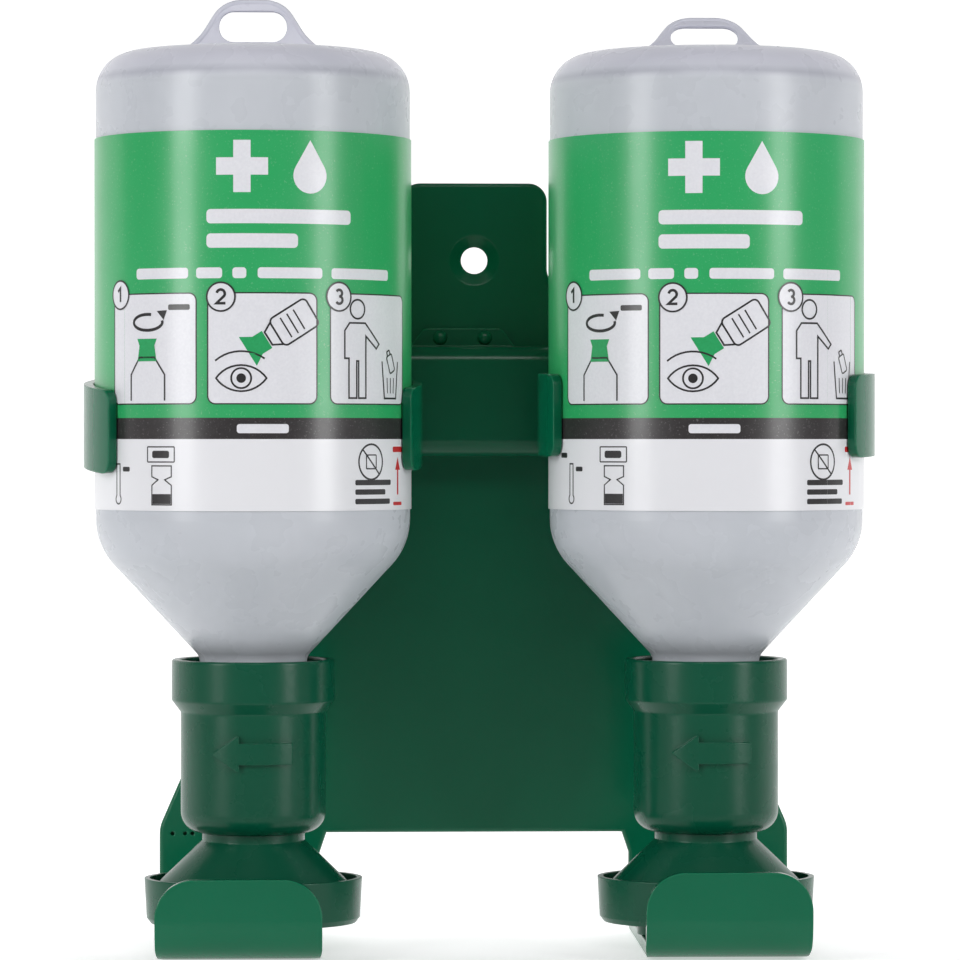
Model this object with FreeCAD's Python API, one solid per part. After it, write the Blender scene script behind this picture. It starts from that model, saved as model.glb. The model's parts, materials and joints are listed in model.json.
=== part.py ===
import FreeCAD, Part
import math
import os

# Wall-mounted eyewash station: a bent green plate carries two inverted 500 ml bottles of saline.
# Each bottle stands on its dust cap on a small shelf and is held by an open spring clip.
# Frame: the origin is the axis of the screw hole on the wall face, +Z up, +X to the right,
# and -Y out of the wall towards the user. Lengths are in millimetres, angles in degrees.

V = FreeCAD.Vector
SIDES = {"left": -1, "right": 1}

# Clearances between pieces
running_gap = 0.35  # curved faces of pieces that move on each other
face_gap = 0.1  # flat faces that rest on each other across a joint
slip_gap = 0.05  # pieces that are put together and stay together
clip_gap = 0.35  # clips spread this far round the labelled bottle
wall_gap = 0.2  # clip ring off the plate's face

# Wall plate
plate_t = 3.0
plate_edge_r = 0.9  # rounding of the plate's outer edges
tongue_top_z = 19.1
tongue_half_w = 18.0
tongue_corner_r = 4.5
flare_top_z = -3.0  # where the sides start to run outwards
leg_outer_x = 77.8
leg_top_z = -140.0  # outer corner where a side turns down into a leg
leg_corner_r = 8.0
plate_bottom_z = -141.5  # lower edge between the legs
plate_bottom_half_w = 36.6
leg_inner_x = 38.3
leg_inner_drop = 5.0  # height over which the leg's inner edge runs outwards
screw_hole_r = 3.3
screw_dimple_r = 6.2
screw_dimple_depth = 1.2
pinhole_r = 0.5
pinhole_depth = 1.5
pinhole_xs = (-74.6, -71.5, -69.7)
pinhole_z = -141.6

# Shelf and front lip under each bottle
shelf_top_z = -162.4
shelf_centre_x = 57.0
shelf_w = 37.2
rear_bend_r = 3.0  # inner radius between leg and shelf
lip_bend_r = 6.5  # inner radius between shelf and lip
lip_w = 38.8
lip_corner_r = 9.0
lip_reach = 28.8  # bottle axis to the lip's inner face
lip_top_z = {"left": -146.2, "right": -144.9}

# Bottle
bottle_x = 54.0
bottle_r = 37.3
bottle_wall = 1.1
base_z = 47.5  # closed end, uppermost when stored
base_corner_r = 9.2
cone_top_z = -69.45  # corner between body and cone
cone_top_bend_r = 16.0
neck_r = 12.75
neck_wall = 1.85
neck_top_z = -95.9  # corner between cone and neck
neck_bend_r = 3.0
neck_end_z = -116.0
liquid_z = 41.0

# Label film round the bottle
label_top_z = 26.8
label_bottom_z = -60.8
label_t = 0.3

# Hanger tab in the bottle's closed end
hanger_len = 15.3
hanger_t = 1.8
hanger_base_half_w = 20.2
hanger_tip_half_w = 6.6
hanger_corner_r = 8.5
hanger_hole_half_w = 7.9
hanger_hole_r = 3.65
hanger_hole_height = 8.7  # hinge line to the middle of the hole
hanger_lean = {"left": 8.0, "right": 40.0}  # backwards from upright
trough_depth = 3.4

# Spring clips
clip_t = 2.2
clip_band_h = 19.5
clip_rear_z = -37.2  # middle of the band at the wall plate
clip_droop = {"left": 5.0, "right": 1.5}  # slope of a band towards the front
clip_wrap_outer = 34.0  # how far an arm reaches in front of the widest point
clip_wrap_inner = 22.0
clip_tip_r = 3.0
web_front = 13.0  # plate face to the front of the web between the clips
web_top_z = -21.4
web_bottom_z = -48.5
web_bend_r = 4.0
channel_half_w = 24.0
tab_centre_x = -3.0
tab_half_w = 13.0
tab_tip_half_w = 9.5
tab_top_z = -16.8
tab_corner_r = 2.2
rivet_pitch = 11.0
rivet_z = -19.2
rivet_shank_r = 1.1
rivet_head_r = 1.8
rivet_head_h = 0.7

# Thread between the bottle's neck and the screw sleeve
thread_pitch = 3.0
thread_height = 1.25
thread_root_w = 1.5
thread_crest_w = 0.7
thread_turns = 2.25
thread_low_z = -113.6
thread_sink = 0.3  # how deep a ridge is rooted in its wall

# Screw sleeve
collar_r = 19.4
collar_wall = 2.0
collar_top_z = -96.5
collar_bottom_z = -106.2
collar_floor_z = -103.8
collar_chamfer_h = 2.8
barrel_r = 17.25
barrel_wall = 2.0
barrel_end_z = -137.7
barrel_end_r = 5.0
sleeve_lip_h = 3.3
thread_zone_end_z = -116.6
arrow_z = -118.1
arrow_half_len = 9.4
arrow_head_len = 6.2
arrow_head_half_h = 4.4
arrow_shaft_half_h = 2.45
arrow_raise = 1.2

# Orifice plug in the neck, washer and nozzle
plug_flange_t = 1.2
plug_skirt_h = 6.0
plug_skirt_wall = 1.2
orifice_r = 3.3
washer_t = 1.4
washer_hole_r = 9.0
nozzle_flange_t = 1.8
nozzle_stem_r = 7.5
nozzle_stem_wall = 1.2
nozzle_end_z = -137.0
valve_pin_len = 2.4  # how far the pin reaches into the orifice
spray_ring_r = 5.0
spray_hole_r = 1.0
spray_holes = 6

# Eye cup
cup_top_z = -117.6
cup_neck_r = 12.2
cup_wall = 1.5
cup_flare_z = -139.6  # neck turns into the flare
cup_flare = (22.4, 18.0, -149.4)  # half-width, half-depth, height where the flare ends
cup_mouth_z = -155.8
mouth_saddle_r = 95.0  # the rim's sides are hollowed to this radius
mouth_saddle_depth = 1.6

# Dust cap, oval like the eye cup's mouth
cap_rim = (25.9, 20.5, -148.5)
cap_base = (25.4, 20.0, -157.9)
cap_wall = 1.3
cap_bottom_z = -159.2
cap_floor_t = 1.4
cap_ledge_w = 2.2
cap_foot_inset = 9.0
cap_foot_w = 2.0

# Values that follow from the ones above
label_r = bottle_r + slip_gap + label_t
clip_r = label_r + clip_gap
clip_outer_r = clip_r + clip_t
axis_y = -(plate_t + clip_outer_r + wall_gap)
leg_end_z = shelf_top_z + rear_bend_r  # here the flat leg runs into the shelf's bend
trough_floor_z = base_z - trough_depth
hinge_z = trough_floor_z + hanger_t / 2 + running_gap
neck_bore_r = neck_r - neck_wall
sleeve_bore_r = neck_r + thread_height + 0.4
barrel_bore_r = barrel_r - barrel_wall
sleeve_mouth_r = cup_neck_r + running_gap
plug_end_z = neck_end_z - plug_flange_t
washer_top_z = plug_end_z - face_gap
nozzle_top_z = washer_top_z - washer_t
cup_socket_r = barrel_bore_r - running_gap
cup_shoulder_z = barrel_end_z + sleeve_lip_h + face_gap
cup_mouth_inset = cap_wall + running_gap
cup_mouth = (cap_base[0] - cup_mouth_inset, cap_base[1] - cup_mouth_inset, cup_mouth_z)


def box(x0, x1, y0, y1, z0, z1):
    return Part.makeBox(x1 - x0, y1 - y0, z1 - z0, V(x0, y0, z0))


def disc(radius, z0, z1, x=0.0, y=0.0):
    return Part.makeCylinder(radius, z1 - z0, V(x, y, z0))


def cylinder_y(radius, y0, y1, x, z):
    return Part.makeCylinder(radius, y1 - y0, V(x, y0, z), V(0, 1, 0))


def front_view(u, v):
    return V(u, 0, v)


def plan_view(u, v):
    return V(u, v, 0)


def side_view(u, v):
    return V(0, u, v)


def rounded_face(corners, place):
    """Face through (u, v, radius) corners, each rounded by its radius and put in space by place."""
    points = [V(u, v, 0) for u, v, radius in corners]
    edges = []
    ends = []
    for i, (u, v, radius) in enumerate(corners):
        corner = points[i]
        back = (points[i - 1] - corner).normalize()
        ahead = (points[(i + 1) % len(points)] - corner).normalize()
        if radius == 0:
            ends.append((corner, corner))
            continue
        half = back.getAngle(ahead) / 2
        reach = radius / math.tan(half)
        inward = (back + ahead).normalize()
        first = corner + back * reach
        last = corner + ahead * reach
        middle = corner + inward * (radius / math.sin(half) - radius)
        ends.append((first, last))
        path = [place(p.x, p.y) for p in (first, middle, last)]
        edges.append(Part.Arc(*path).toShape())
    for i, (first, last) in enumerate(ends):
        before = ends[i - 1][1]
        if before.distanceToPoint(first) > 1e-6:
            edges.append(Part.makeLine(place(before.x, before.y), place(first.x, first.y)))
    return Part.Face(Part.Wire(Part.__sortEdges__(edges)))


def turned(corners):
    """Solid of revolution about Z from (radius, z, rounding) corners."""
    return rounded_face(corners, front_view).revolve(V(0, 0, 0), V(0, 0, 1), 360)


def tube(outer_r, inner_r, z0, z1):
    return turned([(inner_r, z0, 0), (outer_r, z0, 0), (outer_r, z1, 0), (inner_r, z1, 0)])


def oval(half_w, half_d, z):
    if abs(half_w - half_d) < 1e-9:
        return Part.Wire([Part.makeCircle(half_w, V(0, 0, z))])
    return Part.Wire([Part.Ellipse(V(0, 0, z), half_w, half_d).toShape()])


def oval_solid(sections, shrink=0.0):
    """Solid through (half-width, half-depth, z) ovals, each made smaller all round by shrink."""
    wires = [oval(w - shrink, d - shrink, z) for w, d, z in sections]
    return Part.makeLoft(wires, True, True)


def offset_corners(corners, wall):
    """Corners of the line that runs the wall's thickness inside an open profile of a revolved shell."""
    result = []
    for i in range(1, len(corners) - 1):
        u, v, radius = corners[i]
        before = V(u - corners[i - 1][0], v - corners[i - 1][1], 0).normalize()
        after = V(corners[i + 1][0] - u, corners[i + 1][1] - v, 0).normalize()
        normal_a = V(before.y, -before.x, 0)
        normal_b = V(after.y, -after.x, 0)
        turn = before.getAngle(after)
        inward = (normal_a + normal_b).normalize() * (wall / math.cos(turn / 2))
        convex = before.x * after.y - before.y * after.x < 0
        result.append((u + inward.x, v + inward.y, radius - wall if convex else radius + wall))
    return result


def at_bottle(shape, side):
    moved = shape.copy()
    moved.translate(V(SIDES[side] * bottle_x, axis_y, 0))
    return moved


def rounded_edges(shape, radius, wanted):
    edges = [edge for edge in shape.Edges if wanted(edge)]
    return shape.makeFillet(radius, edges)


# ---------------------------------------------------------------- wall bracket


def plate_sheet():
    """Flat part of the plate: tongue, flared sides and the two legs."""
    half = [
        (tongue_half_w, tongue_top_z, tongue_corner_r),
        (tongue_half_w, flare_top_z, tongue_corner_r),
        (leg_outer_x, leg_top_z, leg_corner_r),
        (leg_outer_x, leg_end_z, 0),
        (leg_inner_x, leg_end_z, 0),
        (leg_inner_x, plate_bottom_z - leg_inner_drop, 0),
        (plate_bottom_half_w, plate_bottom_z, 0),
    ]
    mirrored = [(-x, z, r) for x, z, r in reversed(half)]
    return rounded_face(half + mirrored, front_view).extrude(V(0, -plate_t, 0))


def shelf_strip(side):
    """Bend at the leg's end, shelf and upturned lip as one bent strip."""
    inner_y = axis_y - lip_reach
    outer_y = inner_y - plate_t
    low_z = shelf_top_z - plate_t
    profile = [
        (0, leg_end_z, 0),
        (0, low_z, rear_bend_r + plate_t),
        (outer_y, low_z, lip_bend_r + plate_t),
        (outer_y, lip_top_z[side], 0),
        (inner_y, lip_top_z[side], 0),
        (inner_y, shelf_top_z, lip_bend_r),
        (-plate_t, shelf_top_z, rear_bend_r),
        (-plate_t, leg_end_z, 0),
    ]
    centre_x = SIDES[side] * shelf_centre_x
    strip = rounded_face(profile, side_view).extrude(V(2 * leg_outer_x, 0, 0))
    strip.translate(V(centre_x - leg_outer_x, 0, 0))
    return strip.common(shelf_plan(side)).common(lip_front(side))


def shelf_plan(side):
    """Plan of the strip: as wide as the leg at the wall, narrower under the bottle, wider at the lip."""
    taper_y = -14.0
    lip_y = axis_y - lip_reach + lip_bend_r
    front_y = axis_y - lip_reach - 2 * plate_t
    shelf_in = shelf_centre_x - shelf_w / 2
    shelf_out = shelf_centre_x + shelf_w / 2
    lip_in = shelf_centre_x - lip_w / 2
    lip_out = shelf_centre_x + lip_w / 2
    corners = [
        (leg_inner_x, 1, 0),
        (leg_outer_x, 1, 0),
        (leg_outer_x, -plate_t, 0),
        (shelf_out, taper_y, 8.0),
        (shelf_out, lip_y, 8.0),
        (lip_out, lip_y - lip_bend_r, 0),
        (lip_out, front_y, 0),
        (lip_in, front_y, 0),
        (lip_in, lip_y - lip_bend_r, 0),
        (shelf_in, lip_y, 8.0),
        (shelf_in, taper_y, 8.0),
        (leg_inner_x, -plate_t, 0),
    ]
    plan = rounded_face([(SIDES[side] * x, y, r) for x, y, r in corners], plan_view)
    solid = plan.extrude(V(0, 0, lip_top_z["right"] - shelf_top_z + 4 * plate_t))
    solid.translate(V(0, 0, shelf_top_z - 2 * plate_t))
    return solid


def lip_front(side):
    """Front outline of the lip, with its two large upper corners."""
    centre_x = SIDES[side] * shelf_centre_x
    top_z = lip_top_z[side]
    low_z = shelf_top_z - 2 * plate_t
    half = lip_w / 2
    corners = [
        (centre_x - half, low_z, 0),
        (centre_x + half, low_z, 0),
        (centre_x + half, top_z, lip_corner_r),
        (centre_x - half, top_z, lip_corner_r),
    ]
    lip_y = axis_y - lip_reach + lip_bend_r
    front = rounded_face(corners, front_view).extrude(V(0, -3 * lip_bend_r, 0))
    front.translate(V(0, lip_y, 0))
    rear = box(-leg_outer_x - 1, leg_outer_x + 1, lip_y, 1, low_z, leg_top_z)
    return front.fuse(rear)


def back_plate():
    plate = rounded_edges(plate_sheet(), plate_edge_r, is_front_outline)
    plate = plate.cut(cylinder_y(screw_hole_r, -2 * plate_t, plate_t, 0, 0))
    dimple = Part.makeCone(
        screw_dimple_r, screw_hole_r, screw_dimple_depth, V(0, -plate_t, 0), V(0, 1, 0)
    )
    plate = plate.cut(dimple)
    for x in pinhole_xs:
        plate = plate.cut(cylinder_y(pinhole_r, -2 * plate_t, pinhole_depth - plate_t, x, pinhole_z))
    for x, z in rivet_places():
        plate = plate.cut(rivet_hole(x, z))
    return plate


def is_front_outline(edge):
    """Outline edges on the plate's front face, except where a leg runs into a shelf."""
    bounds = edge.BoundBox
    on_front = abs(bounds.YMin + plate_t) < 1e-3 and abs(bounds.YMax + plate_t) < 1e-3
    return on_front and bounds.ZMax > leg_end_z + 1e-3


# ---------------------------------------------------------------- spring clips and rivets


def rivet_places():
    half = rivet_pitch / 2
    return [(tab_centre_x - half, rivet_z), (tab_centre_x + half, rivet_z)]


def rivet_hole(x, z):
    """Through hole with a wider pocket at the wall face for the formed end."""
    hole = cylinder_y(rivet_shank_r + slip_gap, -4 * plate_t, plate_t, x, z)
    pocket = Part.makeCone(
        rivet_head_r + slip_gap, rivet_shank_r + slip_gap, rivet_head_h, V(x, 0, z), V(0, -1, 0)
    )
    return hole.fuse(pocket)


def rivet(x, z):
    """Domed head on the clip's tab, shank through tab and plate, formed end flush with the wall face."""
    head_y = -(plate_t + clip_t)
    sphere_r = (rivet_head_r**2 + rivet_head_h**2) / (2 * rivet_head_h)
    ball = Part.makeSphere(sphere_r, V(x, head_y - rivet_head_h + sphere_r, z))
    dome = ball.common(cylinder_y(rivet_head_r + 1, head_y - rivet_head_h, head_y, x, z))
    shank = cylinder_y(rivet_shank_r, head_y - rivet_head_h / 2, 0, x, z)
    formed_end = Part.makeCone(
        rivet_head_r, rivet_shank_r, rivet_head_h, V(x, 0, z), V(0, -1, 0)
    )
    return dome.fuse(shank).fuse(formed_end).removeSplitter()


def clip_rivets():
    return Part.makeCompound([rivet(x, z) for x, z in rivet_places()])


def clip_ring(side):
    """Open ring round a bottle; its edges slope down towards the front."""
    low_z = web_bottom_z - clip_band_h
    high_z = web_top_z + clip_band_h
    sweep = 180 + clip_wrap_outer + clip_wrap_inner
    sector = Part.makeCylinder(clip_outer_r, high_z - low_z, V(0, 0, low_z), V(0, 0, 1), sweep)
    ring = sector.cut(disc(clip_r, low_z - 1, high_z + 1))
    start = -clip_wrap_outer if side == "right" else -clip_wrap_inner
    ring.rotate(V(0, 0, 0), V(0, 0, 1), start)
    ring = at_bottle(ring, side)
    reach = 3 * clip_outer_r
    centre_x = SIDES[side] * bottle_x
    half_h = clip_band_h / 2
    band = box(centre_x - reach, centre_x + reach, -reach, reach, -half_h, half_h)
    band.rotate(V(0, 0, 0), V(1, 0, 0), clip_droop[side])
    band.translate(V(0, -plate_t, clip_rear_z))
    ring = ring.common(band)
    return rounded_edges(ring, clip_tip_r, is_clip_tip)


def is_clip_tip(edge):
    """Short edges across the wall at the free ends of the arms."""
    straight = edge.Curve.TypeId == "Part::GeomLine"
    return straight and edge.Length < 1.5 * clip_t and edge.BoundBox.ZLength < clip_t / 2


def clip_channel():
    """Channel between the clips: front web with flanges that run back to the plate."""
    front_y = -(plate_t + web_front)
    rear_y = -plate_t
    inner_r = web_bend_r - clip_t
    profile = [
        (rear_y, web_top_z, 0),
        (front_y, web_top_z, web_bend_r),
        (front_y, web_bottom_z, web_bend_r),
        (rear_y, web_bottom_z, 0),
        (rear_y, web_bottom_z + clip_t, 0),
        (front_y + clip_t, web_bottom_z + clip_t, inner_r),
        (front_y + clip_t, web_top_z - clip_t, inner_r),
        (rear_y, web_top_z - clip_t, 0),
    ]
    channel = rounded_face(profile, side_view).extrude(V(2 * bottle_x, 0, 0))
    channel.translate(V(-bottle_x, 0, 0))
    plan = [
        (-channel_half_w, rear_y, 0),
        (channel_half_w, rear_y, 0),
        (web_half_w(), front_y, 0),
        (-web_half_w(), front_y, 0),
    ]
    mask = rounded_face(plan, plan_view).extrude(V(0, 0, 2 * clip_band_h))
    mask.translate(V(0, 0, web_bottom_z - 1))
    return channel.common(mask)


def web_half_w():
    """Half the web's width: it ends inside the wall of the rings."""
    front_y = -(plate_t + web_front)
    middle_r = clip_outer_r - clip_t / 2
    return bottle_x - math.sqrt(middle_r**2 - (front_y - axis_y) ** 2)


def clip_tab():
    """Upturned tab on the plate, through which the clip is riveted."""
    corners = [
        (tab_centre_x - tab_half_w, web_top_z - clip_t, 0),
        (tab_centre_x + tab_half_w, web_top_z - clip_t, 0),
        (tab_centre_x + tab_half_w, web_top_z, 0),
        (tab_centre_x + tab_tip_half_w, tab_top_z, tab_corner_r),
        (tab_centre_x - tab_tip_half_w, tab_top_z, tab_corner_r),
        (tab_centre_x - tab_half_w, web_top_z, 0),
    ]
    tab = rounded_face(corners, front_view).extrude(V(0, -clip_t, 0))
    tab.translate(V(0, -plate_t, 0))
    return tab


def clip_bracket():
    clip = clip_channel().fuse(clip_tab())
    for side in SIDES:
        clip = clip.fuse(clip_ring(side))
    clip = clip.removeSplitter()
    for x, z in rivet_places():
        clip = clip.cut(rivet_hole(x, z))
    return clip


# ---------------------------------------------------------------- bottle and what belongs to it


def bottle_profile():
    """Outer line of the bottle from its closed end to the neck's end."""
    return [
        (0, base_z, 0),
        (bottle_r, base_z, base_corner_r),
        (bottle_r, cone_top_z, cone_top_bend_r),
        (neck_r, neck_top_z, neck_bend_r),
        (neck_r, neck_end_z, 0),
    ]


def trough(wall=0.0):
    """Recess in the closed end into which the hanger folds; wall makes it larger all round."""
    half_w = hanger_base_half_w + 3 * running_gap + wall
    front = -hanger_t / 2 - running_gap - wall
    back = hanger_len + 3 * running_gap + wall
    return box(-half_w, half_w, front, back, trough_floor_z - wall, base_z + 1)


def cavity(gap=0.0):
    """Room inside the bottle's wall; gap makes it smaller all round."""
    line = bottle_profile()
    inner = offset_corners(line, bottle_wall + gap)
    neck_inner = neck_bore_r - gap
    cone_corner = inner[2]
    slope = (inner[1][1] - cone_corner[1]) / (inner[1][0] - cone_corner[0])
    neck_z = cone_corner[1] + (neck_inner - cone_corner[0]) * slope
    corners = [
        (0, base_z - bottle_wall - gap, 0),
        inner[0],
        inner[1],
        (neck_inner, neck_z, neck_bend_r),
        (neck_inner, neck_end_z - 1, 0),
        (0, neck_end_z - 1, 0),
    ]
    return turned(corners).cut(trough(bottle_wall + gap))


def thread_ridge(wall_r, outward):
    """Helical ridge rooted in a wall of radius wall_r, pointing outwards or inwards."""
    direction = 1 if outward else -1
    root_r = wall_r - direction * thread_sink
    crest_r = wall_r + direction * thread_height
    half_root = thread_root_w / 2
    half_crest = thread_crest_w / 2
    points = [
        V(root_r, 0, -half_root),
        V(crest_r, 0, -half_crest),
        V(crest_r, 0, half_crest),
        V(root_r, 0, half_root),
    ]
    profile = Part.makePolygon(points + points[:1])
    helix = Part.makeHelix(thread_pitch, thread_pitch * thread_turns, root_r)
    return Part.Wire(helix).makePipeShell([profile], True, True)


def bottle():
    outside = turned(bottle_profile() + [(0, neck_end_z, 0)])
    shell = outside.cut(cavity()).cut(trough())
    ridge = thread_ridge(neck_r, True)
    ridge.translate(V(0, 0, thread_low_z))
    return shell.fuse(ridge).removeSplitter()


def saline():
    """Fill up to the liquid level, just inside the wall."""
    level = disc(bottle_r, plug_top_z(), liquid_z)
    return cavity(0.2).common(level)


def plug_top_z():
    return neck_end_z + plug_skirt_h + 0.2


def label():
    return tube(label_r, label_r - label_t, label_bottom_z, label_top_z)


def hanger_outline():
    return [
        (-hanger_base_half_w, 0, 0),
        (hanger_base_half_w, 0, 0),
        (hanger_tip_half_w, hanger_len, hanger_corner_r),
        (-hanger_tip_half_w, hanger_len, hanger_corner_r),
    ]


def hanger(side):
    """Flexible tab with an oval hole; its round root lies on the hinge line in the trough."""
    half_t = hanger_t / 2
    tab = rounded_face(hanger_outline(), front_view).extrude(V(0, hanger_t, 0))
    tab.translate(V(0, -half_t, 0))
    half_w = hanger_base_half_w
    root = Part.makeCylinder(half_t, 2 * half_w, V(-half_w, 0, 0), V(1, 0, 0))
    straight = hanger_hole_half_w - hanger_hole_r
    hole = [
        (-straight - hanger_hole_r, hanger_hole_height - hanger_hole_r, hanger_hole_r * 0.999),
        (straight + hanger_hole_r, hanger_hole_height - hanger_hole_r, hanger_hole_r * 0.999),
        (straight + hanger_hole_r, hanger_hole_height + hanger_hole_r, hanger_hole_r * 0.999),
        (-straight - hanger_hole_r, hanger_hole_height + hanger_hole_r, hanger_hole_r * 0.999),
    ]
    eye = rounded_face(hole, front_view).extrude(V(0, 2 * hanger_t, 0))
    eye.translate(V(0, -hanger_t, 0))
    piece = tab.fuse(root).removeSplitter().cut(eye)
    piece.rotate(V(0, 0, 0), V(1, 0, 0), -hanger_lean[side])
    piece.translate(V(0, 0, hinge_z))
    return piece


# ---------------------------------------------------------------- cap assembly


def neck_plug():
    """Orifice plug pushed into the neck, its flange on the neck's end."""
    skirt_r = neck_bore_r - slip_gap
    inner_r = skirt_r - plug_skirt_wall
    top_z = neck_end_z + plug_skirt_h
    corners = [
        (orifice_r, plug_end_z, 0),
        (neck_r, plug_end_z, 0.3),
        (neck_r, neck_end_z, 0),
        (skirt_r, neck_end_z, 0),
        (skirt_r, top_z, 0.4),
        (inner_r, top_z, 0.4),
        (inner_r, neck_end_z, 0.6),
        (orifice_r, neck_end_z, 0),
    ]
    return turned(corners)


def screw_sleeve():
    """Collar and barrel in one, threaded inside, with a raised arrow in the turning direction."""
    collar_bore_r = collar_r - collar_wall
    chamfer_z = collar_bottom_z - collar_chamfer_h
    lip_top = barrel_end_z + sleeve_lip_h
    corners = [
        (collar_r, collar_top_z, 0.6),
        (collar_r, collar_bottom_z, 0.8),
        (barrel_r, chamfer_z, 0.8),
        (barrel_r, barrel_end_z, barrel_end_r),
        (sleeve_mouth_r, barrel_end_z, 0.3),
        (sleeve_mouth_r, lip_top, 0),
        (barrel_bore_r, lip_top, 0),
        (barrel_bore_r, thread_zone_end_z, 0),
        (sleeve_bore_r, thread_zone_end_z, 0),
        (sleeve_bore_r, collar_floor_z, 0.4),
        (collar_bore_r, collar_floor_z, 0.8),
        (collar_bore_r, collar_top_z, 0.6),
    ]
    body = turned(corners)
    ridge = thread_ridge(sleeve_bore_r, False)
    ridge.translate(V(0, 0, thread_low_z + thread_pitch / 2))
    return body.fuse(ridge).removeSplitter().fuse(turning_arrow()).removeSplitter()


def turning_arrow():
    """Raised arrow on the front of the barrel, pointing to -X."""
    neck_x = -arrow_half_len + arrow_head_len
    corners = [
        (-arrow_half_len, arrow_z, 0.3),
        (neck_x, arrow_z - arrow_head_half_h, 0.3),
        (neck_x, arrow_z - arrow_shaft_half_h, 0),
        (arrow_half_len, arrow_z - arrow_shaft_half_h, 0.3),
        (arrow_half_len, arrow_z + arrow_shaft_half_h, 0.3),
        (neck_x, arrow_z + arrow_shaft_half_h, 0),
        (neck_x, arrow_z + arrow_head_half_h, 0.3),
    ]
    prism = rounded_face(corners, front_view).extrude(V(0, -2 * barrel_r, 0))
    low_z = arrow_z - 2 * arrow_head_half_h
    high_z = arrow_z + 2 * arrow_head_half_h
    return prism.common(tube(barrel_r + arrow_raise, barrel_r - barrel_wall / 2, low_z, high_z))


def sealing_washer():
    return tube(cup_socket_r - cup_wall - slip_gap, washer_hole_r, washer_top_z - washer_t, washer_top_z)


def nozzle_insert():
    """Flange under the washer, valve pin into the orifice, and a stem that ends in a spray rose."""
    flange_r = cup_socket_r - cup_wall - slip_gap
    flange_bottom_z = nozzle_top_z - nozzle_flange_t
    pin_r = orifice_r - running_gap
    pin_top_z = plug_end_z + valve_pin_len
    stem_inner_r = nozzle_stem_r - nozzle_stem_wall
    rose_z = nozzle_end_z + nozzle_stem_wall
    body = turned(
        [
            (0, pin_top_z, 0),
            (pin_r, pin_top_z, 0.5),
            (pin_r, nozzle_top_z, 0.5),
            (flange_r, nozzle_top_z, 0),
            (flange_r, flange_bottom_z, 0),
            (nozzle_stem_r, flange_bottom_z, 0),
            (nozzle_stem_r, nozzle_end_z, 0.8),
            (0, nozzle_end_z, 0),
        ]
    )
    body = body.cut(disc(stem_inner_r, rose_z, flange_bottom_z))
    for i in range(spray_holes):
        angle = 2 * math.pi * i / spray_holes
        x = spray_ring_r * math.cos(angle)
        y = spray_ring_r * math.sin(angle)
        body = body.cut(disc(spray_hole_r, flange_bottom_z - 1, nozzle_top_z + 1, x, y))
        body = body.cut(disc(spray_hole_r, nozzle_end_z - 1, rose_z + 1, x, y))
    return body.cut(disc(spray_hole_r, nozzle_end_z - 1, rose_z + 1))


def eye_cup():
    """Socket that turns in the sleeve, neck through the sleeve's end, and the oval cup."""
    socket_bore_r = cup_socket_r - cup_wall
    seat_z = nozzle_top_z - nozzle_flange_t
    neck_inner_r = cup_neck_r - cup_wall
    socket = turned(
        [
            (neck_inner_r, cup_flare_z, 0),
            (cup_neck_r, cup_flare_z, 0),
            (cup_neck_r, cup_shoulder_z, 0),
            (cup_socket_r, cup_shoulder_z, 0),
            (cup_socket_r, cup_top_z, 0.4),
            (socket_bore_r, cup_top_z, 0.4),
            (socket_bore_r, seat_z, 0),
            (neck_inner_r, seat_z, 0),
        ]
    )
    sections = [(cup_neck_r, cup_neck_r, cup_flare_z), cup_flare, cup_mouth]
    flare = oval_solid(sections).cut(oval_solid(sections, cup_wall))
    cup = socket.fuse(flare).removeSplitter()
    return cup.cut(mouth_saddle())


def mouth_saddle():
    """Round bar along Y that hollows the two long sides of the rim."""
    centre_z = cup_mouth[2] + mouth_saddle_depth - mouth_saddle_r
    length = 4 * cup_mouth[1]
    return Part.makeCylinder(mouth_saddle_r, length, V(0, -length / 2, centre_z), V(0, 1, 0))


def dust_cap():
    """Oval lid with a ledge for the cup's rim and a foot ring that stands on the shelf."""
    rounding = (cap_base[0] - 1.0, cap_base[1] - 1.0, cap_bottom_z)
    outside = oval_solid([rounding, cap_base, cap_rim])
    floor_z = cap_bottom_z + cap_floor_t
    ledge_z = cup_mouth[2] - face_gap
    upper = (cap_base[0], cap_base[1], ledge_z)
    room = oval_solid([upper, cap_rim, (cap_rim[0], cap_rim[1], cap_rim[2] + 1)], cap_wall)
    lower = oval_solid([(*cap_base[:2], floor_z), upper], cap_wall + cap_ledge_w)
    lid = outside.cut(room).cut(lower)
    foot_z = shelf_top_z + face_gap
    foot_outer = oval_solid([(*cap_base[:2], foot_z), (*cap_base[:2], cap_bottom_z + 0.5)], cap_foot_inset)
    foot_inner = oval_solid(
        [(*cap_base[:2], foot_z - 1), (*cap_base[:2], cap_bottom_z)], cap_foot_inset + cap_foot_w
    )
    return lid.fuse(foot_outer.cut(foot_inner)).removeSplitter()


# ---------------------------------------------------------------- all pieces


def build():
    pieces = {
        "back_plate": back_plate(),
        "clip_bracket": clip_bracket(),
        "clip_rivets": clip_rivets(),
    }
    stack = {
        "bottle": bottle(),
        "saline": saline(),
        "label": label(),
        "neck_plug": neck_plug(),
        "screw_sleeve": screw_sleeve(),
        "sealing_washer": sealing_washer(),
        "nozzle_insert": nozzle_insert(),
        "eye_cup": eye_cup(),
        "dust_cap": dust_cap(),
    }
    for side in SIDES:
        pieces[f"{side}_shelf"] = shelf_strip(side)
        for name, shape in stack.items():
            pieces[f"{side}_{name}"] = at_bottle(shape, side)
        pieces[f"{side}_hanger"] = at_bottle(hanger(side), side)
    return pieces


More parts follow.
